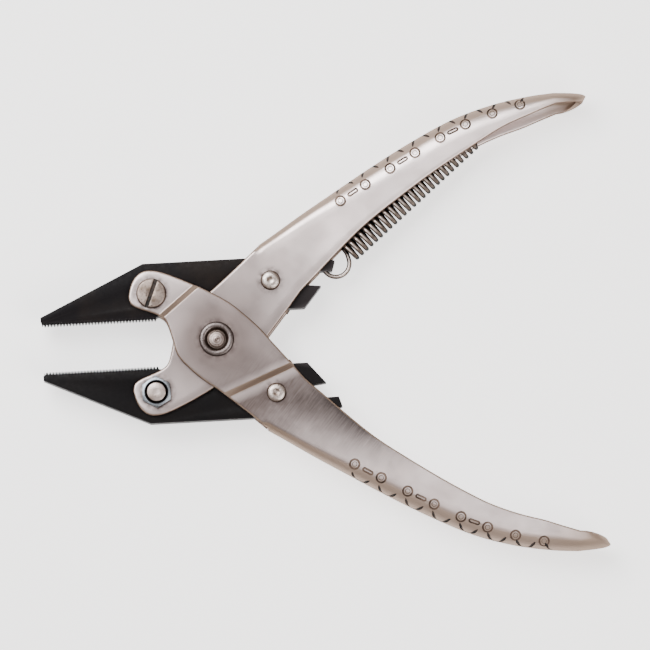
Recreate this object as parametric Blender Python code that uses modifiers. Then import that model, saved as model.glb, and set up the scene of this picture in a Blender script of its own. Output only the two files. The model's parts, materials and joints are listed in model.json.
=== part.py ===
"""Parallel-action flat-nose pliers, 140 mm class, standing open.

Frame: metres, +Z up. The pliers lie on their back. The origin is on the main pivot's axis, in the flat
face of the pivot rivet's back head. +X runs to the handle ends, +Y to the upper handle, +Z to the front.

Two identical stamped handles cross at the main pivot. Each carries one jaw on a screw at its front end, and
a rivet behind the main pivot that slides in the other jaw's slot, so that the jaws stay parallel.
"""

import math

import bmesh
import bpy
from mathutils import Vector

MM = 0.001
WELD = 0.002                 # points closer than this become one

# Linkage, in millimetres
PIVOT_RADIUS = 18.0          # main pivot to jaw screw, and main pivot to slot rivet
FRONT_ANGLE = 38.2           # jaw screws above and below the centre line, in degrees
REAR_ANGLE = 44.7            # slot rivets above and below the centre line, in degrees

# Levels through the thickness, measured from the middle plane of the jaws
JAW_THICKNESS = 6.4
SIDE_PLAY = 0.15             # between a jaw and a cheek, and between two cheeks
SHEET = 1.2                  # sheet metal of the handles
INNER_FACE = JAW_THICKNESS / 2 + SIDE_PLAY
OUTER_FACE = INNER_FACE + SHEET
STEP_HEIGHT = SHEET + SIDE_PLAY
RAISED_FACE = OUTER_FACE + STEP_HEIGHT
SEAT_GAP = 0.1               # under a head or a nut
PIVOT_HEAD = 0.7
MIDDLE_HEIGHT = RAISED_FACE + SEAT_GAP + PIVOT_HEAD

# Fasteners
PIN_PLAY = 0.15
PIVOT_PIN_RADIUS = 2.5
PIVOT_HEAD_RADIUS = 4.2
PIVOT_RIM_RADIUS = 3.9
SPACER_RADIUS = 3.4
SLOT_PIN_RADIUS = 1.2
SLOT_HEAD_RADIUS = 2.2
SLOT_HEAD_HEIGHT = 0.85
SCREW_RADIUS = 2.2
SCREW_HEAD_RADIUS = 3.35
SCREW_HEAD_HEIGHT = 1.05
SCREW_SLOT_WIDTH = 0.9
SCREW_SLOT_DEPTH = 0.6
SCREW_SLOT_ANGLE = 68.0
NUT_FLATS = 6.3
NUT_HEIGHT = 1.3
ROUND_STEPS = 28
SMALL_STEPS = 20

# Handles: pairs of points on the inner and the outer edge of the upper handle, from nose to tip
HEAD_EDGES = [
    ((-18.95, -12.4), (-19.35, -10.6)),
    ((-18.1, -14.3), (-18.9, -9.0)),
    ((-16.6, -15.8), (-17.4, -7.95)),
    ((-14.8, -16.35), (-15.2, -7.1)),
    ((-12.2, -16.0), (-12.7, -6.05)),
    ((-8.6, -14.6), (-11.3, -4.9)),
    ((-4.4, -12.6), (-10.5, -2.8)),
    ((-0.4, -10.4), (-9.8, 0.0)),
    ((3.4, -8.0), (-8.9, 3.2)),
    ((6.8, -5.0), (-6.6, 6.1)),
    ((9.8, -2.0), (-3.6, 8.9)),
    ((12.3, 1.1), (-0.4, 11.3)),
    ((14.7, 4.0), (3.0, 14.1)),
    ((17.0, 6.8), (6.3, 16.9)),
    ((19.3, 9.7), (9.2, 19.45)),
]
CHANNEL_EDGES = [
    ((20.3, 10.7), (10.7, 20.9)),
    ((23.4, 13.6), (14.5, 23.3)),
    ((28.2, 18.2), (20.5, 27.2)),
    ((34.6, 23.9), (27.5, 31.5)),
    ((42.2, 29.4), (36.2, 36.8)),
    ((50.6, 35.0), (46.0, 42.3)),
    ((58.8, 39.9), (55.6, 46.9)),
    ((66.6, 44.3), (64.6, 49.7)),
    ((73.4, 47.0), (72.6, 51.15)),
    ((79.0, 49.0), (78.6, 51.7)),
]
BOW_TIP = ((85.3, 49.4), (86.4, 51.3))
CHANNEL_STEPS = 2            # sections between two pairs
BOW_STEPS = 5
HEAD_BEND = (1.8, 1.5)       # the bend is a quarter ellipse: its reach over the cheek and over the web
GRIP_BEND = (4.4, 3.0)
BEND_FROM, BEND_FULL = 8.0, 45.0
BEND_STEPS = 4
MOST_BEND = 0.75             # of a cheek's depth, where the handle runs out to its tip
WIDE_CHEEK = 1.7             # the stepped cheek is this much deeper near the tip
WIDE_FROM, WIDE_FULL = 57.0, 72.0

# The step that lifts one cheek over the other handle: the foot of each ramp, as a line from a to b
FRONT_FOOT = ((-12.8, -6.2), (-4.8, -12.5))
REAR_FOOT = ((2.1, 13.2), (17.1, 7.2))
RAMP_WIDTH = 1.3

# Jaws: the upper jaw's outline
GRIP_FACE = 5.3              # tooth tips above the centre line, pliers open
NOSE_X, NOSE_TOP = -39.35, 7.1
NOSE_CORNER = 0.35           # chamfer between the nose and the first tooth
SHOULDER = (-15.8, 18.0)
BACK_TOP = 18.0
PRONG_TOP = 16.8
TOOTH_PITCH = 0.71
TOOTH_DEPTH = 0.38
TOOTH_COUNT = 36
TOOTH_START = -38.85
THROAT_FACE = 6.15
RELIEF_CENTRE = (2.85, 5.2)  # where the pivot spacer stands in the closed jaw
RELIEF_RADIUS = 3.75
SLOT_HALF = 1.5
SLOT_MIDDLE = 12.84
SLOT_END_X = 12.65
SPRING_HOLE_X = 24.97
SPRING_HOLE_Y = 15.6
SPRING_HOLE_RADIUS = 0.95

# Return spring
WIRE_RADIUS = 0.43
COIL_RADIUS = 2.67
COIL_PITCH = 1.46
COIL_TURNS = 25.5
COIL_START = (30.34, 18.63)
COIL_ANGLE = 39.7
POINTS_PER_TURN = 8
HOOK_CENTRE = (27.7, 16.0)
HOOK_RADIUS = 3.05
TAIL_LEAD = 1.0
TAB_RADIUS = 1.6
TAB_HEIGHT = 2.45
TAB_THICKNESS = 1.2
TAB_HOLE_RADIUS = 0.85
WEB_SLOPE = 17.0             # of the handle's web above the anchor, in degrees


def polar(radius, degrees, centre=(0.0, 0.0)):
    """A point at a radius and an angle from a centre."""
    turn = math.radians(degrees)
    return (centre[0] + radius * math.cos(turn), centre[1] + radius * math.sin(turn))


UPPER_SCREW = polar(PIVOT_RADIUS, 180 - FRONT_ANGLE)
LOWER_SCREW = polar(PIVOT_RADIUS, 180 + FRONT_ANGLE)
UPPER_RIVET = polar(PIVOT_RADIUS, REAR_ANGLE)
LOWER_RIVET = polar(PIVOT_RADIUS, -REAR_ANGLE)


def clear_scene():
    for item in list(bpy.data.objects):
        bpy.data.objects.remove(item, do_unlink=True)


def new_collection(name):
    group = bpy.data.collections.new(name)
    bpy.context.scene.collection.children.link(group)
    return group


def metal(name, colour, roughness, metallic=1.0):
    surface = bpy.data.materials.new(name)
    surface.use_nodes = True
    shader = surface.node_tree.nodes["Principled BSDF"]
    shader.inputs["Base Color"].default_value = (*colour, 1.0)
    shader.inputs["Roughness"].default_value = roughness
    shader.inputs["Metallic"].default_value = metallic
    return surface


def place(data, name, owner, surface):
    """Put a mesh or a curve, drawn in the pliers' plane, under the empty on its body's joint axis."""
    item = bpy.data.objects.new(name, data)
    PLIERS.objects.link(item)
    item.parent = owner
    shift = Vector((owner.location.x, owner.location.y, 0.0))
    if isinstance(data, bpy.types.Mesh):
        for vertex in data.vertices:
            vertex.co -= shift
    else:
        item.location = -shift
    if surface:
        data.materials.append(surface)
    return item


def axis_empty(name, point):
    empty = bpy.data.objects.new(name, None)
    PLIERS.objects.link(empty)
    empty.parent = ROOT
    empty.location = (point[0] * MM, point[1] * MM, 0.0)
    return empty


def as_mesh(item):
    """Swap a curve object for a mesh of the same shape, with its caps welded."""
    bpy.context.view_layer.update()
    evaluated = item.evaluated_get(bpy.context.evaluated_depsgraph_get())
    data = bpy.data.meshes.new_from_object(evaluated)
    work = bmesh.new()
    work.from_mesh(data)
    bmesh.ops.remove_doubles(work, verts=work.verts, dist=WELD * MM)
    bmesh.ops.recalc_face_normals(work, faces=work.faces)
    work.to_mesh(data)
    work.free()
    solid = bpy.data.objects.new(item.name, data)
    for group in item.users_collection:
        group.objects.link(solid)
    solid.parent = item.parent
    solid.matrix_world = item.matrix_world.copy()
    name = item.name
    bpy.data.objects.remove(item, do_unlink=True)
    solid.name = name
    return solid


def plate(name, outlines, low, high, owner, surface):
    """A flat piece from closed outlines, the first its edge and the rest its holes, between two levels."""
    curve = bpy.data.curves.new(name, "CURVE")
    curve.dimensions = "2D"
    curve.fill_mode = "BOTH"
    curve.extrude = (high - low) / 2 * MM
    for outline in outlines:
        spline = curve.splines.new("POLY")
        spline.points.add(len(outline) - 1)
        for point, (x, y) in zip(spline.points, outline):
            point.co = (x * MM, y * MM, 0.0, 1.0)
        spline.use_cyclic_u = True
    item = place(curve, name, owner, surface)
    item.location.z = (low + high) / 2 * MM
    return as_mesh(item)


def turned(name, profile, centre, owner, surface, flip=False, steps=ROUND_STEPS):
    """A round piece from a profile of (radius, height) points, listed from its top to its bottom."""
    data = bpy.data.meshes.new(name)
    points = [(radius * MM, 0.0, height * MM) for radius, height in profile]
    data.from_pydata(points, [(i, i + 1) for i in range(len(points) - 1)], [])
    item = bpy.data.objects.new(name, data)
    PLIERS.objects.link(item)
    item.parent = owner
    item.location = (centre[0] * MM - owner.location.x, centre[1] * MM - owner.location.y, 0.0)
    if flip:
        item.rotation_euler.x = math.pi
    screw = item.modifiers.new("turn", "SCREW")
    screw.steps = screw.render_steps = steps
    screw.use_merge_vertices = True
    screw.merge_threshold = WELD * MM
    screw.use_smooth_shade = True
    data.materials.append(surface)
    return item


def rod_cutter(name, radius, length, centre, owner, axis="Z"):
    """A cylinder that cuts a hole, through the middle plane."""
    data = bpy.data.meshes.new(name)
    work = bmesh.new()
    bmesh.ops.create_cone(
        work,
        cap_ends=True,
        segments=ROUND_STEPS,
        radius1=radius * MM,
        radius2=radius * MM,
        depth=length * MM,
    )
    work.to_mesh(data)
    work.free()
    rotation = (math.pi / 2, 0.0, 0.0) if axis == "Y" else (0.0, 0.0, 0.0)
    return add_cutter(data, name, centre, owner, rotation)


def add_cutter(data, name, centre, owner, rotation=(0.0, 0.0, 0.0), level=0.0):
    item = bpy.data.objects.new(name, data)
    CUTTERS.objects.link(item)
    item.parent = owner
    item.location = (
        centre[0] * MM - owner.location.x,
        centre[1] * MM - owner.location.y,
        level * MM,
    )
    item.rotation_euler = rotation
    item.hide_render = True
    item.display_type = "WIRE"
    return item


def cut(item, cutter):
    boolean = item.modifiers.new(cutter.name, "BOOLEAN")
    boolean.operation = "DIFFERENCE"
    boolean.solver = "EXACT"
    boolean.object = cutter


def spline_points(pairs, steps):
    """Points on a smooth curve through pairs of points, with a number of steps between two pairs."""
    rows = [[Vector(point) for point in pair] for pair in pairs]
    result = []
    for k in range(len(rows) - 1):
        before, after = rows[max(k - 1, 0)], rows[min(k + 2, len(rows) - 1)]
        for j in range(steps):
            t = j / steps
            result.append(
                tuple(
                    0.5
                    * (
                        2 * b
                        + (c - a) * t
                        + (2 * a - 5 * b + 4 * c - d) * t**2
                        + (3 * b - a - 3 * c + d) * t**3
                    )
                    for a, b, c, d in zip(before, rows[k], rows[k + 1], after)
                )
            )
    result.append(tuple(rows[-1]))
    return result


def smooth_ramp(value, low, high):
    t = min(max((value - low) / (high - low), 0.0), 1.0)
    return t * t * (3 - 2 * t)


def bend_at(x):
    """The bend's reach over the cheek and over the web, at a place on the outer edge."""
    share = smooth_ramp(x, BEND_FROM, BEND_FULL)
    return [head + (grip - head) * share for head, grip in zip(HEAD_BEND, GRIP_BEND)]


def cheek_section(inner, outer, half_width, curled):
    """One cheek of a section, from its inner edge to the middle of the web: points (x, y, z), z >= 0.
    curled runs from 0, a flat cheek, to 1, a cheek that turns a full bend into the web."""
    across = (inner - outer).normalized()
    reach, drop = bend_at(outer.x)
    reach, drop = min(reach, MOST_BEND * (inner - outer).length), min(drop, half_width)
    start = outer + across * reach
    points = [(*inner, half_width), (*start, half_width)]
    for k in range(1, BEND_STEPS + 1):
        turn = math.radians(90.0 * k / BEND_STEPS)
        flat = start - across * (reach * k / BEND_STEPS)
        bent = start - across * (reach * math.sin(turn))
        points.append((*flat.lerp(bent, curled), half_width - drop * (1.0 - math.cos(turn)) * curled))
    return points


def handle_sections():
    """The sections of the handle's outer skin: (plain cheek, stepped cheek, has a web)."""
    head = [(*map(Vector, pair), OUTER_FACE, 0.0) for pair in HEAD_EDGES]
    channel = [(i, o, OUTER_FACE, 1.0) for i, o in spline_points(CHANNEL_EDGES, CHANNEL_STEPS)]
    (last_inner, last_outer), (tip_inner, tip_outer) = channel[-1][:2], map(Vector, BOW_TIP)
    bow = []
    for k in range(1, BOW_STEPS + 1):
        turn = math.radians(90.0 * k / BOW_STEPS)
        along = math.sin(turn)
        half_width = max(OUTER_FACE * math.cos(turn), 0.0)
        bow.append((last_inner.lerp(tip_inner, along), last_outer.lerp(tip_outer, along), half_width, 1.0))
    sections = []
    for inner, outer, half_width, curled in head + channel + bow:
        closing = half_width / OUTER_FACE
        extra = WIDE_CHEEK * smooth_ramp(inner.x, WIDE_FROM, WIDE_FULL) * closing
        deeper = inner + (inner - outer).normalized() * extra
        plain = cheek_section(inner, outer, half_width, curled)
        stepped = cheek_section(deeper, outer, half_width, curled)
        sections.append((plain, stepped, curled > 0))
    return sections


def foot_line(foot):
    """A point on a ramp's foot, and the unit normal towards the main pivot."""
    a, b = Vector(foot[0]), Vector(foot[1])
    normal = Vector((a.y - b.y, b.x - a.x)).normalized()
    return a, (normal if normal.dot(-a) > 0 else -normal)


def bend_step(work):
    """Raise the stepped cheek, which faces -Z, over the other handle."""
    flat_level = -(OUTER_FACE - SHEET / 10) * MM
    lines = [foot_line(FRONT_FOOT), foot_line(REAR_FOOT)]
    for a, normal in lines:
        for offset in (0.0, RAMP_WIDTH):
            faces = [f for f in work.faces if f.calc_center_median().z < flat_level]
            edges = {e for f in faces for e in f.edges}
            corners = {v for f in faces for v in f.verts}
            origin = a + normal * offset
            bmesh.ops.bisect_plane(
                work,
                geom=[*corners, *edges, *faces],
                dist=WELD / 4 * MM,
                plane_co=(origin.x * MM, origin.y * MM, 0.0),
                plane_no=(normal.x, normal.y, 0.0),
            )
    for vertex in work.verts:
        if vertex.co.z < flat_level:
            shares = [normal.dot(vertex.co.xy / MM - a) / RAMP_WIDTH for a, normal in lines]
            vertex.co.z -= min(max(min(shares), 0.0), 1.0) * STEP_HEIGHT * MM


def handle_skin():
    """The outer skin of a handle: two cheeks with a web behind the head, closed at the tip like a bow."""
    work = bmesh.new()
    columns = []
    for plain, stepped, has_web in handle_sections():
        front = [work.verts.new((x * MM, y * MM, z * MM)) for x, y, z in plain]
        back = [work.verts.new((x * MM, y * MM, -z * MM)) for x, y, z in stepped]
        columns.append((front, back, has_web))
    for (front_a, back_a, web_a), (front_b, back_b, web_b) in zip(columns, columns[1:]):
        for k in range(len(front_a) - 1):
            work.faces.new((front_a[k], front_b[k], front_b[k + 1], front_a[k + 1]))
            work.faces.new((back_a[k], back_a[k + 1], back_b[k + 1], back_b[k]))
        if web_a and web_b:
            work.faces.new((front_a[-1], front_b[-1], back_b[-1], back_a[-1]))
    bmesh.ops.remove_doubles(work, verts=work.verts, dist=WELD * MM)
    bend_step(work)
    data = bpy.data.meshes.new("handle")
    work.to_mesh(data)
    work.free()
    return data


def make_handle(name, data, owner, turned_over):
    """One handle: the skin as sheet metal, with its three holes. The two handles are the same stamping."""
    item = place(data, name, owner, None)
    if turned_over:
        item.rotation_euler.x = math.pi
    shell = item.modifiers.new("sheet", "SOLIDIFY")
    shell.thickness = SHEET * MM
    shell.offset = -1.0
    shell.use_even_offset = True
    side = -1 if turned_over else 1
    holes = [
        ("pivot", PIVOT_PIN_RADIUS, (0.0, 0.0)),
        ("screw", SCREW_RADIUS, LOWER_SCREW),
        ("rivet", SLOT_PIN_RADIUS, UPPER_RIVET),
    ]
    for label, radius, (x, y) in holes:
        hole = rod_cutter(f"{name}_{label}_hole", radius + PIN_PLAY, 4 * RAISED_FACE, (x, side * y), owner)
        cut(item, hole)
    return item


def circle(radius, centre, steps=ROUND_STEPS):
    return [polar(radius, 360.0 * k / steps, centre) for k in range(steps)]


def arc(radius, centre, start, end, steps):
    """Points along an arc from one angle to another, both ends included."""
    return [polar(radius, start + (end - start) * k / steps, centre) for k in range(steps + 1)]


def jaw_outline():
    """The upper jaw's edge, from the nose along the teeth, past the pivot relief, round the forked tail."""
    points = [(NOSE_X, NOSE_TOP), (NOSE_X, GRIP_FACE + NOSE_CORNER)]
    points.append((TOOTH_START - 0.3, GRIP_FACE + 0.05))
    for k in range(TOOTH_COUNT):
        x = TOOTH_START + k * TOOTH_PITCH
        points += [(x, GRIP_FACE + TOOTH_DEPTH), (x + TOOTH_PITCH / 2, GRIP_FACE)]
    throat = TOOTH_START + TOOTH_COUNT * TOOTH_PITCH
    points += [(throat, GRIP_FACE + TOOTH_DEPTH), (throat + 1.6, THROAT_FACE)]
    rise = math.degrees(math.asin((THROAT_FACE - RELIEF_CENTRE[1]) / RELIEF_RADIUS))
    points += arc(RELIEF_RADIUS, RELIEF_CENTRE, 180 - rise, rise, 12)
    points += [(20.1, THROAT_FACE + 0.05), (24.05, 10.9), (20.0, SLOT_MIDDLE - SLOT_HALF)]
    points += arc(SLOT_HALF, (SLOT_END_X, SLOT_MIDDLE), 270, 90, 8)
    points += [(20.0, SLOT_MIDDLE + SLOT_HALF), (26.75, 14.2), (27.45, 16.4), (26.2, PRONG_TOP)]
    points += [(7.0, BACK_TOP), SHOULDER]
    return points


def jaw_shape():
    """The plate of a jaw, drawn as the lower jaw, with its origin on the screw's axis."""
    x0, y0 = LOWER_SCREW
    outline = [(x - x0, -y - y0) for x, y in jaw_outline()]
    bore = circle(SCREW_RADIUS + PIN_PLAY, (0.0, 0.0))
    half = JAW_THICKNESS / 2
    shape = plate("jaw", [outline, bore], -half, half, ROOT, None)
    data = shape.data
    bpy.data.objects.remove(shape, do_unlink=True)
    return data


def make_jaw(name, data, owner, turned_over):
    """One jaw. The two jaws are the same part."""
    jaw = bpy.data.objects.new(name, data)
    PLIERS.objects.link(jaw)
    jaw.parent = owner
    side = 1 if turned_over else -1
    if turned_over:
        jaw.rotation_euler.x = math.pi
    hole_at = (SPRING_HOLE_X, side * SPRING_HOLE_Y)
    cut(jaw, rod_cutter(f"{name}_spring_hole", SPRING_HOLE_RADIUS, 4.0, hole_at, owner, axis="Y"))
    return jaw


def dome(radius, height, base, flat=0.35, rim=0.25):
    """Profile points of a domed head: its small flat top, its round shoulder and its upright rim."""
    points = [(0.0, base + height)]
    for k in range(4):
        turn = math.radians(90.0 * k / 3)
        out, up = flat + (1 - flat) * math.sin(turn), rim + (1 - rim) * math.cos(turn)
        points.append((radius * out, base + height * up))
    points.append((radius, base))
    return points


def make_slot_rivet(name, centre, owner, surface):
    base = OUTER_FACE + SEAT_GAP
    top = dome(SLOT_HEAD_RADIUS, SLOT_HEAD_HEIGHT, base)
    profile = top + [(SLOT_PIN_RADIUS, base), (SLOT_PIN_RADIUS, -base)]
    profile += [(radius, -height) for radius, height in reversed(top)]
    return turned(name, profile, centre, owner, surface, steps=SMALL_STEPS)


def make_pivot_rivet(owner, surface):
    """A rivet with a flat head at the back and a rolled, hollow rim at the front."""
    seat = RAISED_FACE + SEAT_GAP
    profile = [
        (0.0, seat - 0.95),
        (0.5, seat - 0.7),
        (1.8, seat - 0.7),
        (2.1, seat - 0.95),
        (2.7, seat + 0.2),
        (3.1, seat + 0.4),
        (3.5, seat + 0.38),
        (3.8, seat + 0.22),
        (PIVOT_RIM_RADIUS, seat),
        (PIVOT_PIN_RADIUS, seat),
        (PIVOT_PIN_RADIUS, -seat),
        (PIVOT_HEAD_RADIUS, -seat),
        (PIVOT_HEAD_RADIUS, -seat - PIVOT_HEAD * 0.6),
        (PIVOT_HEAD_RADIUS - 0.35, -seat - PIVOT_HEAD),
        (0.0, -seat - PIVOT_HEAD),
    ]
    return turned("pivot_rivet", profile, (0.0, 0.0), owner, surface)


def make_spacer(owner, surface):
    """The sleeve round the pivot rivet that keeps the inner cheeks apart."""
    bore = PIVOT_PIN_RADIUS + PIN_PLAY
    half = INNER_FACE - SEAT_GAP
    outline = [circle(SPACER_RADIUS, (0.0, 0.0)), circle(bore, (0.0, 0.0))]
    return plate("pivot_spacer", outline, -half, half, owner, surface)


def make_screw(name, centre, owner, surface, flip):
    """A jaw screw: a low slotted head, and a shank that ends flush in its nut."""
    seat = OUTER_FACE + SEAT_GAP
    end = seat + NUT_HEIGHT + 0.1
    profile = [
        (0.0, seat + SCREW_HEAD_HEIGHT),
        (SCREW_HEAD_RADIUS - 0.9, seat + SCREW_HEAD_HEIGHT - 0.06),
        (SCREW_HEAD_RADIUS - 0.3, seat + SCREW_HEAD_HEIGHT - 0.2),
        (SCREW_HEAD_RADIUS, seat + SCREW_HEAD_HEIGHT * 0.5),
        (SCREW_HEAD_RADIUS, seat),
        (SCREW_RADIUS, seat),
        (SCREW_RADIUS, -end + 0.2),
        (SCREW_RADIUS - 0.2, -end),
        (0.0, -end),
    ]
    screw = turned(name, profile, centre, owner, surface, flip)
    data = bpy.data.meshes.new(f"{name}_slot")
    work = bmesh.new()
    bmesh.ops.create_cube(work, size=1.0)
    size = Vector((4 * SCREW_HEAD_RADIUS, SCREW_SLOT_WIDTH, 2 * SCREW_SLOT_DEPTH)) * MM
    bmesh.ops.scale(work, vec=size, verts=work.verts)
    work.to_mesh(data)
    work.free()
    level = (seat + SCREW_HEAD_HEIGHT) * (-1 if flip else 1)
    turn = math.radians(SCREW_SLOT_ANGLE)
    cut(screw, add_cutter(data, f"{name}_slot", centre, owner, (0.0, 0.0, turn), level))
    return screw


def make_nut(name, centre, owner, surface, side):
    corner = NUT_FLATS / math.sqrt(3)
    outline = [polar(corner, 60 * k + 30, centre) for k in range(6)]
    low = OUTER_FACE + SEAT_GAP
    levels = (low, low + NUT_HEIGHT) if side > 0 else (-low - NUT_HEIGHT, -low)
    return plate(name, [outline, circle(SCREW_RADIUS + PIN_PLAY, centre)], *levels, owner, surface)


def spring_path():
    """The spring's wire: hook in the jaw's hole, coil up the channel, loop through the anchor tab."""
    turn = math.radians(COIL_ANGLE)
    along = Vector((math.cos(turn), math.sin(turn), 0.0))
    side = Vector((-math.sin(turn), math.cos(turn), 0.0))
    up = Vector((0.0, 0.0, 1.0))
    start = Vector((*COIL_START, 0.0))
    hook = [Vector((*point, 0.0)) for point in arc(HOOK_RADIUS, HOOK_CENTRE, -168, 12, 14)]
    lead = [start + side * (COIL_RADIUS * t) - along * (0.35 * (1 - t)) for t in (-0.15, 0.35, 0.75)]
    coil = []
    count = round(COIL_TURNS * POINTS_PER_TURN)
    for k in range(count + 1):
        angle = 2 * math.pi * k / POINTS_PER_TURN
        rise = along * (COIL_PITCH * k / POINTS_PER_TURN)
        coil.append(start + rise + (side * math.cos(angle) + up * math.sin(angle)) * COIL_RADIUS)
    end = start + along * (COIL_PITCH * COIL_TURNS)
    lift = [end + along * 0.45 - side * 1.9 - up * 1.5, end + along * 0.8 - side * 0.7 - up * 2.4]
    loop_centre = end + along * TAIL_LEAD
    loop = []
    for k in range(13):
        angle = math.radians(15.0 * k)
        loop.append(loop_centre + (along * math.sin(angle) - up * math.cos(angle)) * COIL_RADIUS)
    return hook + lead + coil + lift + loop


def make_spring(owner, surface):
    curve = bpy.data.curves.new("return_spring", "CURVE")
    curve.dimensions = "3D"
    curve.bevel_depth = WIRE_RADIUS * MM
    curve.bevel_resolution = 1
    curve.use_fill_caps = True
    path = spring_path()
    spline = curve.splines.new("POLY")
    spline.points.add(len(path) - 1)
    for point, place_at in zip(spline.points, path):
        point.co = (*(place_at * MM), 1.0)
    return place(curve, "return_spring", owner, surface)


def make_anchor_tab(owner, surface):
    """The lug spot-welded inside the upper handle's web, which the spring's far loop passes through."""
    reach = COIL_PITCH * COIL_TURNS + TAIL_LEAD + COIL_RADIUS
    hole = polar(reach, COIL_ANGLE, COIL_START)
    foot = WEB_SLOPE + 90
    left, right = polar(TAB_RADIUS, foot + 90, hole), polar(TAB_RADIUS, foot - 90, hole)
    outline = [polar(TAB_HEIGHT, foot, right), polar(TAB_HEIGHT, foot, left)]
    outline += arc(TAB_RADIUS, hole, foot + 90, foot + 270, 10)
    holes = circle(TAB_HOLE_RADIUS, hole, 16)
    half = TAB_THICKNESS / 2
    return plate("spring_anchor_tab", [outline, holes], -half, half, owner, surface)


def shade(items):
    """Smooth shading, with edges sharper than 30 degrees kept."""
    for item in items:
        if item.type == "MESH" and item.data.polygons:
            item.data.shade_smooth()
            item.data.set_sharp_from_angle(angle=math.radians(30))


clear_scene()
PLIERS = new_collection("parallel_pliers")
CUTTERS = new_collection("cutters")
ROOT = bpy.data.objects.new("pliers", None)
PLIERS.objects.link(ROOT)
ROOT.location.z = MIDDLE_HEIGHT * MM

nickel = metal("nickel_plate", (0.66, 0.61, 0.59), 0.32)
blackened = metal("black_oxide", (0.02, 0.02, 0.022), 0.45, 0.6)
bright = metal("bright_steel", (0.62, 0.6, 0.58), 0.3)
zinc = metal("zinc_plate", (0.58, 0.62, 0.68), 0.35)
spring_steel = metal("spring_steel", (0.42, 0.38, 0.34), 0.35)

lower_body = axis_empty("lower_handle_axis", (0.0, 0.0))
upper_body = axis_empty("upper_handle_axis", (0.0, 0.0))
upper_jaw_body = axis_empty("upper_jaw_axis", UPPER_SCREW)
lower_jaw_body = axis_empty("lower_jaw_axis", LOWER_SCREW)
spring_body = axis_empty("spring_axis", HOOK_CENTRE)

handle = handle_skin()
handle.materials.append(nickel)
make_handle("handle_upper", handle, upper_body, turned_over=False)
make_handle("handle_lower", handle, lower_body, turned_over=True)
jaw = jaw_shape()
jaw.materials.append(blackened)
make_jaw("jaw_upper", jaw, upper_jaw_body, turned_over=True)
make_jaw("jaw_lower", jaw, lower_jaw_body, turned_over=False)
make_pivot_rivet(lower_body, bright)
make_spacer(lower_body, bright)
make_slot_rivet("upper_slot_rivet", UPPER_RIVET, upper_body, bright)
make_slot_rivet("lower_slot_rivet", LOWER_RIVET, lower_body, bright)
make_screw("upper_jaw_screw", UPPER_SCREW, lower_body, bright, flip=False)
make_nut("upper_jaw_nut", UPPER_SCREW, lower_body, zinc, side=-1)
make_screw("lower_jaw_screw", LOWER_SCREW, upper_body, bright, flip=True)
make_nut("lower_jaw_nut", LOWER_SCREW, upper_body, zinc, side=1)
make_spring(spring_body, spring_steel)
make_anchor_tab(upper_body, bright)
shade(PLIERS.objects)
bpy.context.view_layer.update()
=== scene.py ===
"""Looks for the parallel-action flat-nose pliers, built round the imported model.

Points of the handles, the jaws and the spring are in millimetres in the pliers' plane: the main pivot is at
(0, 0), +X runs to the handle ends, and levels count from the middle plane of the jaws, so a front face has a
positive level. The two handles are one stamping and the two jaws one forging, so each shape is made once for
the upper piece, and turned over about X for the lower one.
"""

import functools
import json
import math

import bmesh
import bpy
import numpy as np
from mathutils import Matrix, Vector
from mathutils.bvhtree import BVHTree


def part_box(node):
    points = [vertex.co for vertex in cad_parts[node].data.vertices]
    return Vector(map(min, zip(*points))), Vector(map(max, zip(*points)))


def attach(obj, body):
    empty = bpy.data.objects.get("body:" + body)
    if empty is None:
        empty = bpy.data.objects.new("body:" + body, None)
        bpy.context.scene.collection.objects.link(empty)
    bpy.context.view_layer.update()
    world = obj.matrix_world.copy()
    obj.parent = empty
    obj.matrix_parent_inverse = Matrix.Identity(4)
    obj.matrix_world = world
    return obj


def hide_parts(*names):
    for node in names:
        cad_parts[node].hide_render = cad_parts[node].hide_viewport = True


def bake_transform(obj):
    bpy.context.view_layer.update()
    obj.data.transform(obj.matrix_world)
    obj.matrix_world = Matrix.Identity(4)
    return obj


MM = 0.001

# ---- the frame

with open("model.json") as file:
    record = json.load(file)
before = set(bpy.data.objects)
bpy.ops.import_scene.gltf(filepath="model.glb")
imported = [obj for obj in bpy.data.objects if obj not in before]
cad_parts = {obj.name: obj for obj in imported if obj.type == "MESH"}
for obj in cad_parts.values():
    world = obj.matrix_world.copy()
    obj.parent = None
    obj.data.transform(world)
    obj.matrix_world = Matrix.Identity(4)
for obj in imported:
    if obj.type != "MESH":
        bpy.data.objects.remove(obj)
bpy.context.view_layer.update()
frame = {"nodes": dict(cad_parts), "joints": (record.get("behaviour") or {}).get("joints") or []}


def centre_mm(node):
    """The middle of a CAD node's box, in millimetres."""
    low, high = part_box(node)
    return Vector([(a + b) / 2 / MM for a, b in zip(low, high)])


def size_mm(node):
    low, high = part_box(node)
    return Vector([(b - a) / MM for a, b in zip(low, high)])


def joint_mm(name):
    """A hinge's point in the pliers' plane."""
    joint = next(j for j in frame["joints"] if j["name"] == name)
    return Vector([c / MM for c in joint["pos_m"][:2]])


MIDDLE = centre_mm("jaw_upper").z
UPPER_SCREW = joint_mm("upper_jaw_hinge")
LOWER_SCREW = joint_mm("lower_jaw_hinge")
UPPER_RIVET = centre_mm("upper_slot_rivet").xy
LOWER_RIVET = centre_mm("lower_slot_rivet").xy
JAW_THICKNESS = size_mm("jaw_upper").z
SHEET = 1.2
SIDE_PLAY = 0.15
INNER_FACE = JAW_THICKNESS / 2 + SIDE_PLAY
OUTER_FACE = INNER_FACE + SHEET
STEP_HEIGHT = SHEET + SIDE_PLAY
RAISED_FACE = OUTER_FACE + STEP_HEIGHT
SEAT_GAP = 0.1
PIVOT_PIN_RADIUS = 2.5
SCREW_RADIUS = 2.2
RIVET_PIN_RADIUS = 1.2
PIN_PLAY = 0.15
WELD = 0.002                 # points nearer than this are one point
TURNED_OVER = Matrix.Rotation(math.pi, 4, "X")

# ---- small helpers


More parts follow.
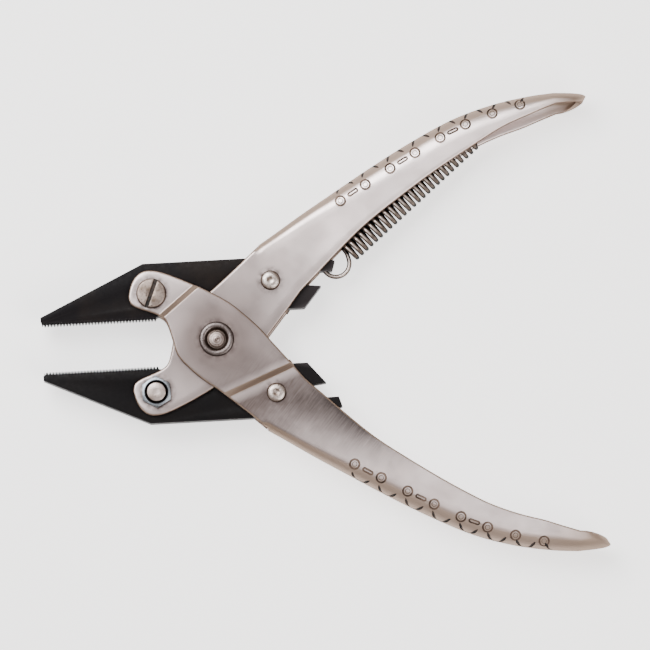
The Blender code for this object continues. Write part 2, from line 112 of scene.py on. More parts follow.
def polar(radius, degrees, centre=(0.0, 0.0)):
    turn = math.radians(degrees)
    return (centre[0] + radius * math.cos(turn), centre[1] + radius * math.sin(turn))


def arc(radius, centre, start, end, steps):
    return [polar(radius, start + (end - start) * k / steps, centre) for k in range(steps + 1)]


def ease(t):
    t = min(max(t, 0.0), 1.0)
    return t * t * (3 - 2 * t)


def link(item):
    bpy.context.scene.collection.objects.link(item)
    return item


def mesh_object(name, work):
    """An object from a bmesh in millimetres about the middle plane."""
    data = bpy.data.meshes.new(name)
    work.to_mesh(data)
    work.free()
    return link(bpy.data.objects.new(name, data))


def evaluated(item):
    """Swap an object for a plain mesh of what its modifiers or its curve make."""
    bpy.context.view_layer.update()
    depsgraph = bpy.context.evaluated_depsgraph_get()
    data = bpy.data.meshes.new_from_object(item.evaluated_get(depsgraph))
    data.transform(item.matrix_world)
    name = item.name
    bpy.data.objects.remove(item, do_unlink=True)
    return link(bpy.data.objects.new(name, data))


def welded(item, merge_flat=False):
    """Join the loose points of a mesh, merge its flat faces if asked to, and turn its faces outwards."""
    work = bmesh.new()
    work.from_mesh(item.data)
    bmesh.ops.remove_doubles(work, verts=work.verts, dist=WELD)
    if merge_flat:
        bmesh.ops.dissolve_limit(
            work, angle_limit=math.radians(1), verts=work.verts, edges=work.edges, delimit=set()
        )
    bmesh.ops.recalc_face_normals(work, faces=work.faces)
    work.to_mesh(item.data)
    work.free()
    return item


def bevelled(item, width, angle):
    """Round the edges that are sharper than an angle, given in degrees."""
    bevel = item.modifiers.new("bevel", "BEVEL")
    bevel.width = width
    bevel.segments = 2
    bevel.limit_method = "ANGLE"
    bevel.angle_limit = math.radians(angle)
    return evaluated(item)


def difference(item, cutter, keep_cutter_material=False):
    boolean = item.modifiers.new("cut", "BOOLEAN")
    boolean.operation = "DIFFERENCE"
    boolean.solver = "EXACT"
    boolean.object = cutter
    if keep_cutter_material:
        boolean.material_mode = "TRANSFER"
    result = evaluated(item)
    bpy.data.objects.remove(cutter, do_unlink=True)
    return result


def paint(item, material):
    item.data.materials.clear()
    item.data.materials.append(material)


def to_frame(item):
    """Move a piece from its own millimetres about the middle plane to the frame, and shade it smooth."""
    item.data.transform(Matrix.Translation((0.0, 0.0, MIDDLE * MM)) @ Matrix.Scale(MM, 4))
    item.data.shade_smooth()


def finish_piece(item, body, node, sharp=32.0):
    """Bring a piece to the frame and let it stand for its CAD node."""
    to_frame(item)
    item.data.set_sharp_from_angle(angle=math.radians(sharp))
    if node:
        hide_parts(node)
    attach(item, body)


def copy_turned_over(item, name):
    data = item.data.copy()
    data.transform(TURNED_OVER)
    return link(bpy.data.objects.new(name, data))


def turned(name, profile, centre=(0.0, 0.0), steps=72, flip=False):
    """A round piece from (radius, level) points, top to bottom."""
    work = bmesh.new()
    verts = [work.verts.new((radius, 0.0, level)) for radius, level in profile]
    edges = [work.edges.new(pair) for pair in zip(verts, verts[1:])]
    around = {"cent": (0, 0, 0), "axis": (0, 0, 1), "angle": 2 * math.pi, "steps": steps}
    bmesh.ops.spin(work, geom=verts + edges, use_merge=True, **around)
    bmesh.ops.remove_doubles(work, verts=work.verts, dist=WELD)
    bmesh.ops.recalc_face_normals(work, faces=work.faces)
    if flip:
        bmesh.ops.transform(work, matrix=TURNED_OVER, verts=work.verts)
    bmesh.ops.translate(work, vec=(centre[0], centre[1], 0.0), verts=work.verts)
    return mesh_object(name, work)


def bored(item, radius, centre, reach=9.0):
    """Cut a round hole through a piece."""
    profile = [(0, reach), (radius, reach), (radius, -reach), (0, -reach)]
    return difference(item, turned("drill", profile, centre))


def polyline(curve, path, cyclic=True):
    """Add a line through 3-D points to a curve."""
    spline = curve.splines.new("POLY")
    spline.points.add(len(path) - 1)
    for point, place in zip(spline.points, path):
        point.co = (*place, 1.0)
    spline.use_cyclic_u = cyclic
    return spline


def plate(name, outlines, low, high):
    """A flat piece between two levels, from an edge and its holes."""
    curve = bpy.data.curves.new(name, "CURVE")
    curve.dimensions = "2D"
    curve.fill_mode = "BOTH"
    curve.extrude = (high - low) / 2
    for outline in outlines:
        polyline(curve, [(x, y, 0.0) for x, y in outline])
    item = link(bpy.data.objects.new(name, curve))
    item.location.z = (low + high) / 2
    return welded(evaluated(item), merge_flat=True)


def tube(name, paths, radius, sides=4, cyclic=True, width=None):
    """One mesh of tubes along paths of 3-D points; width gives the radius's share at a share of the path."""
    curve = bpy.data.curves.new(name, "CURVE")
    curve.dimensions = "3D"
    curve.bevel_depth = radius
    curve.bevel_resolution = sides
    curve.use_fill_caps = True
    for path in paths:
        spline = polyline(curve, path, cyclic)
        for k, point in enumerate(spline.points):
            point.radius = width(k / (len(path) - 1)) if width else 1.0
    return welded(evaluated(link(bpy.data.objects.new(name, curve))))


# ---- materials

BRUSH_TURN = 50.0               # the way the plate is brushed, across the lower handle, in degrees
# painted reflection: the warm tan that the bends and the tip reflect, mixed into the plate's colour
TAN_REFLECTION = (0.36, 0.27, 0.21)
TAN_REFLECTION_SLOPE = {1: (0.985, 0.93), -1: (0.965, 0.88)}     # how far the plate faces front, from bare to full painted tan reflection
SHADE_AND_GRIME = (0.085, 0.065, 0.06)     # painted shade beside the rear ramp, and painted shadow with grime round the fasteners
HALO_WIDTH = 1.3                # how far the painted shadow and grime round a fastener's foot reach
EDGE_SHADE = (0.045, 0.036, 0.034)  # the darkest painted shade, along the grip's inner edge
SHADED_EDGE_STRETCH = ((23.4, 13.6), (42.2, 29.4))     # the stretch of the inner edge that the painted shade lies along


class Look:
    """A Principled material and short ways to add procedural detail to it. Scales are per millimetre."""

    def __init__(self, name, colour, roughness, metallic=1.0, edge_tint=1.0):
        self.material = bpy.data.materials.new(name)
        self.material.use_nodes = True
        tree = self.material.node_tree
        self.nodes, self.links = tree.nodes, tree.links
        self.shader = self.nodes["Principled BSDF"]
        self.shader.inputs["Base Color"].default_value = (*colour, 1.0)
        self.shader.inputs["Roughness"].default_value = roughness
        self.shader.inputs["Metallic"].default_value = metallic
        self.shader.inputs["Specular Tint"].default_value = (edge_tint, edge_tint, edge_tint, 1.0)
        self.place = self.nodes.new("ShaderNodeTexCoord").outputs["Object"]

    def noise(self, scale, length=1.0, turn=0.0, detail=3.0, roughness=0.55):
        """Noise in object space, drawn out to a length along a direction in the plane, given in degrees."""
        mapping = self.nodes.new("ShaderNodeMapping")
        mapping.vector_type = "TEXTURE"
        mapping.inputs["Rotation"].default_value[2] = math.radians(turn)
        mapping.inputs["Scale"].default_value = (MM * length / scale, MM / scale, MM / scale)
        self.links.new(self.place, mapping.inputs["Vector"])
        noise = self.nodes.new("ShaderNodeTexNoise")
        noise.inputs["Scale"].default_value = 1.0
        noise.inputs["Detail"].default_value = detail
        noise.inputs["Roughness"].default_value = roughness
        self.links.new(mapping.outputs["Vector"], noise.inputs["Vector"])
        return noise.outputs["Fac"]

    def spread(self, value, low, high, to_low=0.0, to_high=1.0):
        """Map a value's range from low..high to another, clamped."""
        node = self.nodes.new("ShaderNodeMapRange")
        for key, number in zip(("From Min", "From Max", "To Min", "To Max"), (low, high, to_low, to_high)):
            node.inputs[key].default_value = number
        self.links.new(value, node.inputs["Value"])
        return node.outputs["Result"]

    def tint(self, colour, amount):
        """Mix a colour over the base colour by an amount socket."""
        base = self.shader.inputs["Base Color"]
        mix = self.nodes.new("ShaderNodeMix")
        mix.data_type = "RGBA"
        if base.is_linked:
            self.links.new(base.links[0].from_socket, mix.inputs["A"])
        else:
            mix.inputs["A"].default_value = base.default_value
        mix.inputs["B"].default_value = (*colour, 1.0)
        self.links.new(amount, mix.inputs["Factor"])
        self.links.new(mix.outputs["Result"], base)

    def fade(self, colour, value, low, high, amount=1.0):
        """Mix a colour over the base colour, up to an amount as a value goes from low to high."""
        self.tint(colour, self.spread(value, low, high, 0.0, amount))

    def mottle(self, colour, scale, low, high, amount=1.0, **noise):
        """Blotches of a colour, where noise goes from low to high."""
        self.fade(colour, self.noise(scale, **noise), low, high, amount)

    def rough(self, value):
        self.links.new(value, self.shader.inputs["Roughness"])

    def bump(self, height, depth):
        """Relief of a depth in millimetres."""
        bump = self.nodes.new("ShaderNodeBump")
        bump.inputs["Distance"].default_value = depth * MM
        previous = self.shader.inputs["Normal"]
        if previous.is_linked:
            self.links.new(previous.links[0].from_socket, bump.inputs["Normal"])
        self.links.new(height, bump.inputs["Height"])
        self.links.new(bump.outputs["Normal"], previous)

    def maths(self, operation, first, second=None):
        """A maths operation on one or two sockets."""
        node = self.nodes.new("ShaderNodeMath")
        node.operation = operation
        self.links.new(first, node.inputs[0])
        if second:
            self.links.new(second, node.inputs[1])
        return node.outputs["Value"]

    def vector(self, operation, value, constant):
        """The outputs of a vector operation between a socket and a constant."""
        node = self.nodes.new("ShaderNodeVectorMath")
        node.operation = operation
        node.inputs[1].default_value = constant
        self.links.new(value, node.inputs[0])
        return node.outputs

    def along(self, direction, origin=(0.0, 0.0, 0.0)):
        """How far a point lies along a direction from an origin, both in the frame's millimetres."""
        offset = self.vector("SUBTRACT", self.place, [c * MM for c in origin])["Vector"]
        return self.vector("DOT_PRODUCT", offset, [c / MM for c in direction])["Value"]

    def radius(self, centre):
        """How far a point is from an upright line through a centre, in millimetres."""
        flat = self.vector("MULTIPLY", self.place, (1.0 / MM, 1.0 / MM, 0.0))["Vector"]
        return self.vector("DISTANCE", flat, (*centre, 0.0))["Value"]

    def product(self, *values):
        return functools.reduce(functools.partial(self.maths, "MULTIPLY"), values)

    def largest(self, *values):
        return functools.reduce(functools.partial(self.maths, "MAXIMUM"), values)

    def stored(self, name):
        """A value kept with each point of the mesh."""
        attribute = self.nodes.new("ShaderNodeAttribute")
        attribute.attribute_name = name
        return attribute.outputs["Fac"]

    def normal_z(self):
        """How far the surface faces front or back: 1 for flat, 0 for on edge."""
        normal = self.nodes.new("ShaderNodeNewGeometry").outputs["Normal"]
        return self.maths("ABSOLUTE", self.vector("DOT_PRODUCT", normal, (0.0, 0.0, 1.0))["Value"])


def nickel_look(name, side):
    """Satin nickel plate: cross-brushed, with stains, a painted tan reflection at the bend and the tip,
    painted shade towards the pivot, by the rear ramp and along the grip's inner edge, and painted shadow with
    grime round the fasteners.
    side is 1 for the lower handle, whose stepped cheek is in front, and -1 for the upper one."""
    look = Look(name, (0.84, 0.745, 0.735), 0.34, edge_tint=0.45)
    look.mottle((0.60, 0.50, 0.475), 0.035, 0.4, 0.7, 0.5, detail=2.0)
    # painted shade: the plate darkens towards the main pivot
    look.fade((0.13, 0.10, 0.092), look.radius((0.0, 0.0)), 36.0, 6.0, 0.92)
    (x, y), normal = foot_line(REAR_FOOT)
    behind = look.along((-normal.x, side * normal.y, 0.0), (x, -side * y, 0.0))
    stepped = look.spread(look.along((0.0, 0.0, side), (0.0, 0.0, MIDDLE)), 0.0, 1.0)
    brushed = look.spread(look.noise(3.2, 14.0, side * BRUSH_TURN, detail=6.0), 0.3, 0.7, 0.8)
    uneven = look.spread(look.noise(0.16, detail=3.0), 0.3, 0.6, 0.75)
    before_ramp = look.product(look.spread(behind, -1.5, -3.0), look.spread(behind, -9.5, -2.6, 0.0, 0.8))
    after_ramp = look.product(look.spread(behind, 0.6, 2.4), look.spread(behind, 28.0, 7.0))
    (x, y), normal = foot_line(SHADED_EDGE_STRETCH)
    inside = look.along((normal.x, -side * normal.y, 0.0), (x, -side * y, 0.0))
    grip_start = look.product(look.spread(behind, 33.0, 20.0), look.spread(behind, 3.0, 10.0))
    by_edge = look.product(look.spread(inside, 9.0, 0.8), grip_start)
    # painted shade on the stepped cheek on either side of the rear ramp
    for zone in (before_ramp, after_ramp):
        look.tint(SHADE_AND_GRIME, look.product(zone, stepped, brushed, uneven))
    # painted shade along the grip's inner edge
    look.tint(EDGE_SHADE, look.product(by_edge, stepped, brushed))
    # painted shadow, mottled like grime, round the foot of each fastener
    screw, rivet = (UPPER_SCREW, LOWER_RIVET) if side > 0 else (LOWER_SCREW, UPPER_RIVET)
    patchy = look.spread(look.noise(0.7, detail=4.0), 0.35, 0.6)
    feet = ((0.0, 0.0), PIVOT_RIM_RADIUS), (screw, SCREW_HEAD_RADIUS), (rivet, RIVET_HEAD_RADIUS)
    for centre, foot in feet:
        halo = look.spread(look.radius(centre), foot + HALO_WIDTH, foot, 0.0, 0.85)
        look.tint(SHADE_AND_GRIME, look.product(halo, patchy))
    # painted tan reflection where the plate turns away at the bend, and towards the tip
    turned_away = look.normal_z()
    look.fade(TAN_REFLECTION, turned_away, *TAN_REFLECTION_SLOPE[side], 0.85)
    along_grip = look.along((1.0, 0.0, 0.0))
    look.fade(TAN_REFLECTION, along_grip, 70.0, 81.0, 0.6)
    look.mottle((0.16, 0.12, 0.10), 2.0, 0.7, 0.8, 0.7, detail=6.0)
    satin = look.spread(look.noise(0.3, detail=5.0), 0.3, 0.7, 0.29, 0.39)
    dull_bend = look.spread(turned_away, *TAN_REFLECTION_SLOPE[side], 0.0, 0.62)
    dull_tip = look.spread(along_grip, 70.0, 78.0, 0.0, 0.62)
    look.rough(look.largest(satin, dull_bend, dull_tip))
    look.bump(look.noise(7.0, 20.0, side * BRUSH_TURN), 0.006)
    look.bump(look.noise(0.06, detail=1.0), 0.5)
    return look.material


def edge_wear_and_shade_look():
    """The sheet's cut edge, where the plate is thin and brown; its dark brown is partly painted shade along
    the rims.
    """
    look = Look("sheet_edge_wear_and_shade", (0.19, 0.13, 0.10), 0.42, 0.85, edge_tint=0.2)
    look.mottle((0.06, 0.04, 0.03), 0.6, 0.4, 0.65, 0.8, detail=5.0)
    look.bump(look.noise(4.0, detail=3.0), 0.02)
    return look.material


def groove_look():
    """Grime in the stamped grooves."""
    look = Look("stamped_groove", (0.19, 0.135, 0.105), 0.5, 0.6)
    look.mottle((0.035, 0.025, 0.018), 0.45, 0.42, 0.62, 0.85)
    return look.material


def dirt_look():
    """Dark dirt packed into cuts and screw slots."""
    look = Look("packed_dirt", (0.05, 0.034, 0.026), 0.7, 0.2)
    look.mottle((0.008, 0.006, 0.005), 0.9, 0.4, 0.6)
    return look.material


def black_look():
    """Black oxide over ground steel: browned, speckled, worn at the edges and lightened there as a painted
    highlight, and darker on the lower jaw as painted shade.
    """
    look = Look("black_oxide_with_painted_shading", (0.0050, 0.0042, 0.0052), 0.5, 0.0)
    look.shader.inputs["Specular IOR Level"].default_value = 0.1
    look.mottle((0.011, 0.008, 0.007), 0.09, 0.45, 0.65)
    look.fade((0.022, 0.019, 0.020), look.along((1.0, 0.0, 0.0)), 15.0, 23.0)
    look.mottle((0.07, 0.06, 0.06), 2.4, 0.66, 0.76, 0.7, detail=6.0, roughness=0.75)
    # painted shade: the lower jaw is darker than the upper
    look.fade((0.0020, 0.0016, 0.0020), look.along((0.0, 1.0, 0.0)), -2.0, -6.0, 0.75)
    facing = look.normal_z()
    # worn edges, lightened as a painted highlight along the bevels
    worn_and_highlit_edge = look.product(look.spread(facing, 0.98, 0.9), look.spread(facing, 0.5, 0.75, 0.0, 0.8))
    look.tint((0.15, 0.135, 0.14), worn_and_highlit_edge)
    look.rough(look.spread(look.noise(1.2, detail=5.0), 0.3, 0.7, 0.42, 0.6))
    look.bump(look.noise(5.0, 8.0, 60.0), 0.008)
    return look.material


def steel_look(name, colour, stain, roughness=0.3, stain_amount=0.6):
    """Turned steel with a little rust or grime, and painted shade on the flanks."""
    look = Look(name, colour, roughness, edge_tint=0.4)
    look.mottle(stain, 0.55, 0.42, 0.68, stain_amount, detail=6.0)
    # painted shade: darker brown where the surface turns to face sideways
    look.fade((0.12, 0.08, 0.055), look.normal_z(), 0.8, 0.35, 0.9)
    look.mottle((0.04, 0.028, 0.02), 2.2, 0.6, 0.72, 0.7, detail=5.0)
    look.rough(look.spread(look.noise(2.0, detail=4.0), 0.3, 0.7, roughness - 0.06, roughness + 0.14))
    look.bump(look.noise(3.0, detail=4.0), 0.03)
    return look


def pivot_look():
    """The main rivet: a bright rim round a darker, ringed middle, with painted shade in the groove inside the
    rim and a painted shadow line round the rim's foot.
    """
    look = steel_look("pivot_steel", (0.15, 0.128, 0.124), (0.08, 0.064, 0.058))
    radius = look.radius((0.0, 0.0))
    # painted shade in the groove inside the rim; the middle is lightened again next
    look.fade((0.11, 0.085, 0.07), radius, 2.75, 2.5, 0.8)
    look.fade((0.36, 0.30, 0.28), radius, 1.65, 1.4, 0.85)
    # painted shadow: a dark line round the rim's foot
    look.fade((0.09, 0.065, 0.05), radius, 3.7, 3.88, 0.8)
    rings = look.maths("SINE", look.spread(radius, 0.0, 1.7, 0.0, 6.0 * math.pi))
    dark_rings = look.spread(rings, 0.2, 1.0, 0.0, 0.8)
    look.tint((0.10, 0.07, 0.055), look.product(dark_rings, look.spread(radius, 1.7, 1.6)))
    return look.material


def rivet_look(name, centre):
    """A slot rivet: a dark patch in the dimple, and a brown ring painted round the foot as shadow."""
    look = steel_look(name, (0.60, 0.54, 0.51), (0.36, 0.29, 0.25))
    radius = look.radius(centre)
    patch = look.spread(look.noise(0.8, detail=5.0), 0.35, 0.6)
    look.tint((0.14, 0.105, 0.085), look.product(look.spread(radius, 1.25, 0.7), patch))
    # painted shadow: a brown ring round the head's foot
    look.fade((0.13, 0.085, 0.055), radius, 1.85, 2.1, 0.9)
    return look.material


def nut_look(name, centre):
    """Zinc plate, with the gap where the bolt comes through painted black as shadow."""
    look = steel_look(name, (0.27, 0.31, 0.35), (0.17, 0.175, 0.19))
    # painted shadow: black round the bolt in the countersink
    look.fade((0.010, 0.008, 0.008), look.radius(centre), 2.8, 2.65)
    return look.material


def bolt_look(name, centre, nut_side, colour, stain):
    """A screw: the outline of its end in the nut is painted dark as the shadow of the gap round it."""
    look = steel_look(name, colour, stain, 0.33, 0.8)
    # painted shadow of the gap between the bolt's end and the nut
    at_nut = look.spread(look.along((0.0, 0.0, nut_side), (0.0, 0.0, MIDDLE)), 0.0, OUTER_FACE)
    look.tint((0.02, 0.015, 0.012), look.product(look.spread(look.radius(centre), 1.95, 2.15), at_nut))
    return look.material


# ---- handles

# Pairs of points on the inner and the outer edge of the upper handle, from nose to tip
HEAD_EDGES = [
    ((-18.95, -12.4), (-19.35, -10.6)),
    ((-18.1, -14.3), (-18.9, -9.0)),
    ((-16.6, -15.8), (-17.4, -7.95)),
    ((-14.8, -16.35), (-15.2, -7.1)),
    ((-12.2, -16.0), (-12.7, -6.05)),
    ((-8.6, -14.6), (-11.3, -4.9)),
    ((-4.4, -12.6), (-10.5, -2.8)),
    ((-0.4, -10.4), (-9.8, 0.0)),
    ((3.4, -8.0), (-8.9, 3.2)),
    ((6.8, -5.0), (-6.6, 6.1)),
    ((9.8, -2.0), (-3.6, 8.9)),
    ((12.3, 1.1), (-0.4, 11.3)),
    ((14.7, 4.0), (3.0, 14.1)),
    ((17.0, 6.8), (6.3, 16.9)),
    ((19.3, 9.7), (9.2, 19.45)),
]
CHANNEL_EDGES = [
    ((20.3, 10.7), (10.7, 20.9)),
    ((23.4, 13.6), (14.5, 23.3)),
    ((28.2, 18.2), (20.5, 27.2)),
    ((34.6, 23.9), (27.5, 31.5)),
    ((42.2, 29.4), (36.2, 36.8)),
    ((50.6, 35.0), (46.0, 42.3)),
    ((58.8, 39.9), (55.6, 46.9)),
    ((66.6, 44.3), (64.6, 49.7)),
    ((73.4, 47.0), (72.6, 51.15)),
    ((79.0, 49.0), (78.6, 51.7)),
]
BOW_TIP = ((85.3, 49.4), (86.4, 51.3))
NOSE_STEPS = (0.0, 0.02, 0.06, 0.13, 0.25, 0.4, 0.6, 0.8)
HEAD_STEPS = 5
CHANNEL_STEPS = 7
BOW_STEPS = 16
TIP_ROUNDING = 0.35          # how much of the blunt tip's depth its outer corner loses
HEAD_BEND = (1.8, 1.5)       # the bend is a quarter ellipse: its reach over the cheek and over the web
GRIP_BEND = (4.4, 3.0)
BEND_FROM, BEND_FULL = 8.0, 45.0
MOST_BEND = 0.75             # the largest share of a cheek that the bend takes
WIDE_CHEEK = 1.7             # how much wider the stepped cheek grows, and where
WIDE_FROM, WIDE_FULL = 57.0, 72.0
STEPPED_SKIN = 0.01 - OUTER_FACE       # the stepped cheek's outer skin starts out below this level
FRONT_FOOT = ((-12.8, -6.2), (-4.8, -12.5))
REAR_FOOT = ((2.1, 13.2), (17.1, 7.2))
RAMP_WIDTH = 1.4
RAMP_CUTS = 12
RAMP_CREASE = 0.16           # the share of the ramp's width that each crease takes
RIM_RADIUS = 0.42
RIM_COLUMNS = (0.0, 0.04, 0.12, 0.25, RIM_RADIUS)
EDGE_REACH = 0.13            # how far the brown of the cut edge, partly painted shade, runs over the rounded rim
MIDDLE_COLUMNS = 6
BEND_COLUMNS = (0.12, 0.24, 0.38, 0.52, 0.66, 0.8, 0.9, 0.96, 1.0)


def even(steps):
    return [j / steps for j in range(steps)]


def between(t, a, b, c, d):
    """The point at a share of the way from b to c, on a smooth curve through four points."""
    return 0.5 * (2 * b + (c - a) * t + (2 * a - 5 * b + 4 * c - d) * t**2 + (3 * b - a - 3 * c + d) * t**3)


def spline_rows(pairs, stops, first_stops=None):
    """Pairs of points on a smooth curve through pairs of points, at the stops after each pair."""
    rows = [[Vector(point) for point in pair] for pair in pairs]
    result = []
    for k in range(len(rows) - 1):
        before, after = rows[max(k - 1, 0)], rows[min(k + 2, len(rows) - 1)]
        for t in (first_stops or stops) if k == 0 else stops:
            result.append(tuple(between(t, *four) for four in zip(before, rows[k], rows[k + 1], after)))
    result.append(tuple(rows[-1]))
    return result


def handle_stations():
    """Stations along the upper handle: (inner edge, outer edge, half width, how far the bend is curled)."""
    head = spline_rows(HEAD_EDGES, even(HEAD_STEPS), NOSE_STEPS)
    stations = [(inner, outer, OUTER_FACE, 0.0) for inner, outer in head]
    roll_inner, roll_outer = map(Vector, HEAD_EDGES[-1])
    web_inner, web_outer = map(Vector, CHANNEL_EDGES[0])
    for t in (0.25, 0.5, 0.75):
        stations.append((roll_inner.lerp(web_inner, t), roll_outer.lerp(web_outer, t), OUTER_FACE, ease(t)))
    channel = spline_rows(CHANNEL_EDGES, even(CHANNEL_STEPS))
    stations += [(inner, outer, OUTER_FACE, 1.0) for inner, outer in channel]
    (last_inner, last_outer), (tip_inner, tip_outer) = channel[-1], map(Vector, BOW_TIP)
    for k in range(1, BOW_STEPS + 1):
        turn = math.radians(90.0 * k / BOW_STEPS)
        along = math.sin(turn)
        half = max(OUTER_FACE * math.cos(turn), 0.0)
        inner, outer = last_inner.lerp(tip_inner, along), last_outer.lerp(tip_outer, along)
        outer += (inner - outer) * (TIP_ROUNDING * along**8)
        stations.append((inner, outer, half, 1.0))
    return stations


def bend_at(x):
    """The bend's reach over the cheek and over the web, at a place on the outer edge."""
    share = ease((x - BEND_FROM) / (BEND_FULL - BEND_FROM))
    return [head + (grip - head) * share for head, grip in zip(HEAD_BEND, GRIP_BEND)]


def stepped_edge(inner, outer, half_width):
    """The stepped cheek's inner edge, beside the plain cheek's."""
    extra = WIDE_CHEEK * ease((inner.x - WIDE_FROM) / (WIDE_FULL - WIDE_FROM)) * half_width / OUTER_FACE
    return inner + (inner - outer).normalized() * extra


def cheek_points(inner, outer, half_width, curled):
    """Points (x, y, z) across one cheek, from the inner edge round the bend to the web."""
    across = (inner - outer).normalized()
    depth = (inner - outer).length
    reach, drop = bend_at(outer.x)
    reach, drop = min(reach, MOST_BEND * depth), min(drop, max(half_width, 1e-4))
    start = outer + across * reach
    flat_length = depth - reach
    rim = [min(column, flat_length * 0.4) for column in RIM_COLUMNS]
    points = [(*(inner - across * column), half_width) for column in rim]
    for k in range(1, MIDDLE_COLUMNS + 1):
        along = rim[-1] + (flat_length - rim[-1]) * k / MIDDLE_COLUMNS
        points.append((*(inner - across * along), half_width))
    for share in BEND_COLUMNS:
        turn = math.radians(90.0 * share)
        flat = start - across * (reach * share)
        bent = start - across * (reach * math.sin(turn))
        points.append((*flat.lerp(bent, curled), half_width - drop * (1.0 - math.cos(turn)) * curled))
    return points


def handle_skin(stations):
    """The outer skin of the upper handle, as a bmesh."""
    work = bmesh.new()
    columns = []
    for inner, outer, half_width, curled in stations:
        deeper = stepped_edge(inner, outer, half_width)
        front = [work.verts.new(p) for p in cheek_points(inner, outer, half_width, curled)]
        back = [work.verts.new((x, y, -z)) for x, y, z in cheek_points(deeper, outer, half_width, curled)]
        a, b = front[-1].co, back[-1].co
        web = [work.verts.new(a.lerp(b, k / 4)) for k in (1, 2, 3)] if curled >= 1 else []
        columns.append((front, back, web))
    for (front_a, back_a, web_a), (front_b, back_b, web_b) in zip(columns, columns[1:]):
        for k in range(len(front_a) - 1):
            work.faces.new((front_a[k], front_b[k], front_b[k + 1], front_a[k + 1]))
            work.faces.new((back_a[k], back_a[k + 1], back_b[k + 1], back_b[k]))
        if web_a and web_b:
            line_a, line_b = [front_a[-1], *web_a, back_a[-1]], [front_b[-1], *web_b, back_b[-1]]
            for k in range(4):
                work.faces.new((line_a[k], line_b[k], line_b[k + 1], line_a[k + 1]))
    bmesh.ops.remove_doubles(work, verts=work.verts, dist=WELD)
    return work


def foot_line(foot):
    """A point on a ramp's foot, and the unit normal towards the main pivot."""
    a, b = Vector(foot[0]), Vector(foot[1])
    normal = Vector((a.y - b.y, b.x - a.x)).normalized()
    return a, (normal if normal.dot(-a) > 0 else -normal)


def ramp_rise(share):
    """The height of a ramp, as a share of the step: straight, with a round crease at each end."""
    share = min(max(share, 0.0), 1.0)
    if share > 0.5:
        return 1.0 - ramp_rise(1.0 - share)
    slope = 1.0 / (1.0 - RAMP_CREASE)
    if share < RAMP_CREASE:
        return slope * share * share / (2.0 * RAMP_CREASE)
    return slope * (share - RAMP_CREASE / 2.0)


def bend_step(work):
    """Raise the stepped cheek over the other handle, with a soft crease at each end of the ramps."""
    lines = [foot_line(FRONT_FOOT), foot_line(REAR_FOOT)]
    for a, normal in lines:
        for k in range(-1, RAMP_CUTS + 2):
            origin = a + normal * (RAMP_WIDTH * k / RAMP_CUTS)
            faces = {f for f in work.faces if f.calc_center_median().z < STEPPED_SKIN}
            geometry = {v for f in faces for v in f.verts} | {e for f in faces for e in f.edges} | faces
            bmesh.ops.bisect_plane(
                work, geom=list(geometry), dist=0.02, plane_co=(*origin, 0.0), plane_no=(*normal, 0.0)
            )
    for vertex in work.verts:
        if vertex.co.z < STEPPED_SKIN:
            share = min(normal.dot(vertex.co.xy - a) / RAMP_WIDTH for a, normal in lines)
            vertex.co.z -= STEP_HEIGHT * ramp_rise(share)


def edge_distance(points, lines):
    """Distance of each 2-D point from a set of polylines."""
    nearest = np.full(len(points), 1e9)
    for line in map(np.array, lines):
        for a, d in zip(line, np.diff(line, axis=0)):
            if d @ d > 1e-12:
                t = np.clip((points - a) @ d / (d @ d), 0.0, 1.0)
                nearest = np.minimum(nearest, np.linalg.norm(points - a - t[:, None] * d, axis=1))
    return nearest


def round_rims(data, outer_count, stations):
    """Round the cheeks' edges: both skins close in towards the middle of the sheet near an edge.
    The faces of the cut edge itself take the second material."""
    head = [s for s in stations if s[3] < 1.0]
    plain = [tuple(s[0]) for s in stations]
    stepped = [tuple(stepped_edge(*s[:3])) for s in stations]
    nose = [tuple(head[0][0]), tuple(head[0][1])]
    top = [tuple(s[1]) for s in head]
    co = np.array([vertex.co for vertex in data.vertices], dtype=float)
    outer_skin = np.arange(len(co)) < outer_count
    on_edge = np.zeros(len(co), dtype=bool)
    for side, inner_line in ((1.0, plain), (-1.0, stepped)):
        chosen = (co[:, 2] * side > 1.0) & (np.abs(co[:, 2]) > 0.35 * INNER_FACE)
        distance = edge_distance(co[chosen, :2], [inner_line, nose, top])
        near = np.clip(RIM_RADIUS - distance, 0.0, RIM_RADIUS)
        fall = RIM_RADIUS - np.sqrt(RIM_RADIUS**2 - near**2)
        direction = np.where(outer_skin[chosen], -side, side)
        co[chosen, 2] += direction * fall
        on_edge[np.flatnonzero(chosen)[distance < EDGE_REACH]] = True
    for polygon in data.polygons:
        polygon.material_index = int(all(on_edge[index] for index in polygon.vertices))
    data.vertices.foreach_set("co", co.reshape(-1))
    data.update()


def sheet_metal(work, stations):
    """The handle as a closed sheet with round rims, from its outer skin."""
    outer_count = len(work.verts)
    item = mesh_object("handle_sheet", work)
    shell = item.modifiers.new("sheet", "SOLIDIFY")
    shell.thickness = SHEET
    shell.offset = -1.0
    shell.use_even_offset = True
    item = evaluated(item)
    round_rims(item.data, outer_count, stations)
    return item


# The stamped grip: rings and outlined dashes on both cheeks, and a row of crosses over the back
RING_START, RING_STEP, RING_COUNT = 20.6, 6.72, 8   # along the channel's outer edge
RING_RADIUS, RING_LINE = 1.06, 0.23
DIMPLE_RADIUS, DIMPLE_LINE = 0.52, 0.08
DEEPEST_RING, RING_INSET, RING_DRIFT = 2, 2.75, 0.045    # the ring furthest in, and how the others drift out
DASH_AFTER = (0, 2, 4)
DASH_HALF_LENGTH, DASH_HALF_WIDTH = 0.85, 0.33
CROSS_FROM, CROSS_TO = 0.3, 4.7                     # where a cross's arms meet the cheek, beyond a ring
CROSS_LINE = 0.36
CROSS_TURN = 41.0                                   # where an arm starts on the bend, in degrees
CROSS_STEPS = 20
HALF_ARM = 9                                        # points that are left of an arm past the last ring


